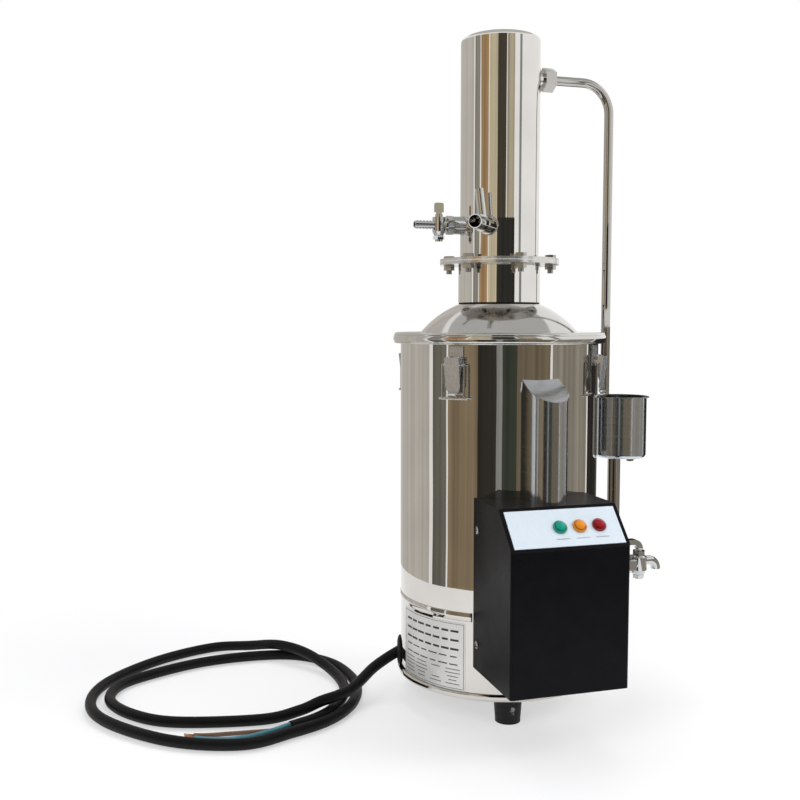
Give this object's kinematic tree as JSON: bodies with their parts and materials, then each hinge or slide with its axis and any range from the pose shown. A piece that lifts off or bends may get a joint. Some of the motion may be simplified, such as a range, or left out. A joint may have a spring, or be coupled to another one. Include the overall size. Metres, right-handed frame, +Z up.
{
  "type": "electric water distiller",
  "caption": "Electric water distiller: polished boiler drum on rubber feet, domed clip-on lid, condenser column, feeder cup, drain tap, black control box with pilot lamps, bare-ended cord.",
  "frame": {"origin": "on the floor, on the upright axis of the boiler drum", "axes": "+Z up, -Y towards the control box, +X towards the feeder cup and the drain tap"},
  "size_m": [0.634, 0.4132, 0.703],
  "materials": {
    "steel": "polished",
    "chrome": "polished",
    "black_paint": "satin powder coat",
    "black_rubber": "matte",
    "white_seal": "matte",
    "white_plastic": "matte",
    "panel": "satin",
    "green_lens": "gloss",
    "amber_lens": "gloss",
    "red_lens": "gloss",
    "cord_black": "satin",
    "teal_core": "gloss",
    "blue_core": "gloss",
    "brown_core": "gloss",
    "copper": "bare",
    "brass": "bare"
  },
  "bodies": {
    "boiler": {"boiler_shell": "steel", "boiler_floor": "steel", "base_plate": "steel", "rubber_feet": "black_rubber", "foot_screws": "chrome", "heating_element": "steel", "element_nuts": "brass", "terminal_block": "white_plastic", "control_box": "black_paint", "box_brackets": "steel", "box_screws": "chrome", "lamp_plate": "panel", "lamp_green": "green_lens", "lamp_amber": "amber_lens", "lamp_red": "red_lens", "lamp_bodies": "white_plastic", "power_relay": "white_plastic", "level_chamber": "steel", "float_stem": "steel", "feeder_cup": "steel", "overflow_pipe": "steel", "feed_pipe": "steel", "drain_pipe": "steel", "tap_body": "chrome", "clip_brackets": "steel", "clip_pins": "steel", "cable_grommet": "black_rubber", "power_cord": "cord_black", "core_green": "teal_core", "core_blue": "blue_core", "core_brown": "brown_core", "copper_ends": "copper"},
    "lid": {"lid_dome": "steel", "lid_gasket": "white_seal", "splash_baffle": "steel", "neck_seal": "black_rubber", "condenser_collar": "steel", "lower_flange": "steel", "flange_gasket": "white_seal", "upper_flange": "steel", "condenser_jacket": "steel", "condenser_core": "steel", "flange_bolts": "chrome", "flange_nuts": "chrome", "inlet_cock_body": "chrome", "distillate_outlet": "chrome", "union_nut": "chrome", "return_pipe": "steel"},
    "inlet_handle": {"inlet_cock_plug": "chrome"},
    "drain_handle": {"tap_plug": "chrome"},
    "level_float": {"float_ball": "steel"},
    "lever_1": {"clip_lever_1": "steel"},
    "bail_1": {"clip_bail_1": "chrome"},
    "lever_2": {"clip_lever_2": "steel"},
    "bail_2": {"clip_bail_2": "chrome"},
    "lever_3": {"clip_lever_3": "steel"},
    "bail_3": {"clip_bail_3": "chrome"},
    "lever_4": {"clip_lever_4": "steel"},
    "bail_4": {"clip_bail_4": "chrome"}
  },
  "joints": [
    {"name": "lid_lift", "type": "slide", "parent": "boiler", "child": "lid", "axis": [0, 0, 1], "range_m": [0, 0.12]},
    {"name": "inlet_cock", "type": "hinge", "parent": "lid", "child": "inlet_handle", "pos_m": [-0.068, 0, 0.50841], "axis": [0, 0, 1], "range_deg": [0, 90]},
    {"name": "drain_cock", "type": "hinge", "parent": "boiler", "child": "drain_handle", "pos_m": [0.1735, 0, 0.133], "axis": [0, 0, 1], "range_deg": [0, 90]},
    {"name": "float_rise", "type": "slide", "parent": "boiler", "child": "level_float", "axis": [0, 0, 1], "range_m": [0, 0.018]},
    {"name": "clip_lever_1", "type": "hinge", "parent": "boiler", "child": "lever_1", "pos_m": [-0.07778, -0.07778, 0.3712], "axis": [-0.7071, 0.7071, 0], "range_deg": [0, 90]},
    {"name": "clip_bail_1", "type": "hinge", "parent": "lever_1", "child": "bail_1", "pos_m": [-0.07955, -0.07955, 0.3657], "axis": [-0.7071, 0.7071, 0], "range_deg": [0, 80]},
    {"name": "clip_lever_2", "type": "hinge", "parent": "boiler", "child": "lever_2", "pos_m": [0.07778, -0.07778, 0.3712], "axis": [-0.7071, -0.7071, 0], "range_deg": [0, 90]},
    {"name": "clip_bail_2", "type": "hinge", "parent": "lever_2", "child": "bail_2", "pos_m": [0.07955, -0.07955, 0.3657], "axis": [-0.7071, -0.7071, 0], "range_deg": [0, 80]},
    {"name": "clip_lever_3", "type": "hinge", "parent": "boiler", "child": "lever_3", "pos_m": [0.07778, 0.07778, 0.3712], "axis": [0.7071, -0.7071, 0], "range_deg": [0, 90]},
    {"name": "clip_bail_3", "type": "hinge", "parent": "lever_3", "child": "bail_3", "pos_m": [0.07955, 0.07955, 0.3657], "axis": [0.7071, -0.7071, 0], "range_deg": [0, 80]},
    {"name": "clip_lever_4", "type": "hinge", "parent": "boiler", "child": "lever_4", "pos_m": [-0.07778, 0.07778, 0.3712], "axis": [0.7071, 0.7071, 0], "range_deg": [0, 90]},
    {"name": "clip_bail_4", "type": "hinge", "parent": "lever_4", "child": "bail_4", "pos_m": [-0.07955, 0.07955, 0.3657], "axis": [0.7071, 0.7071, 0], "range_deg": [0, 80]}
  ]
}
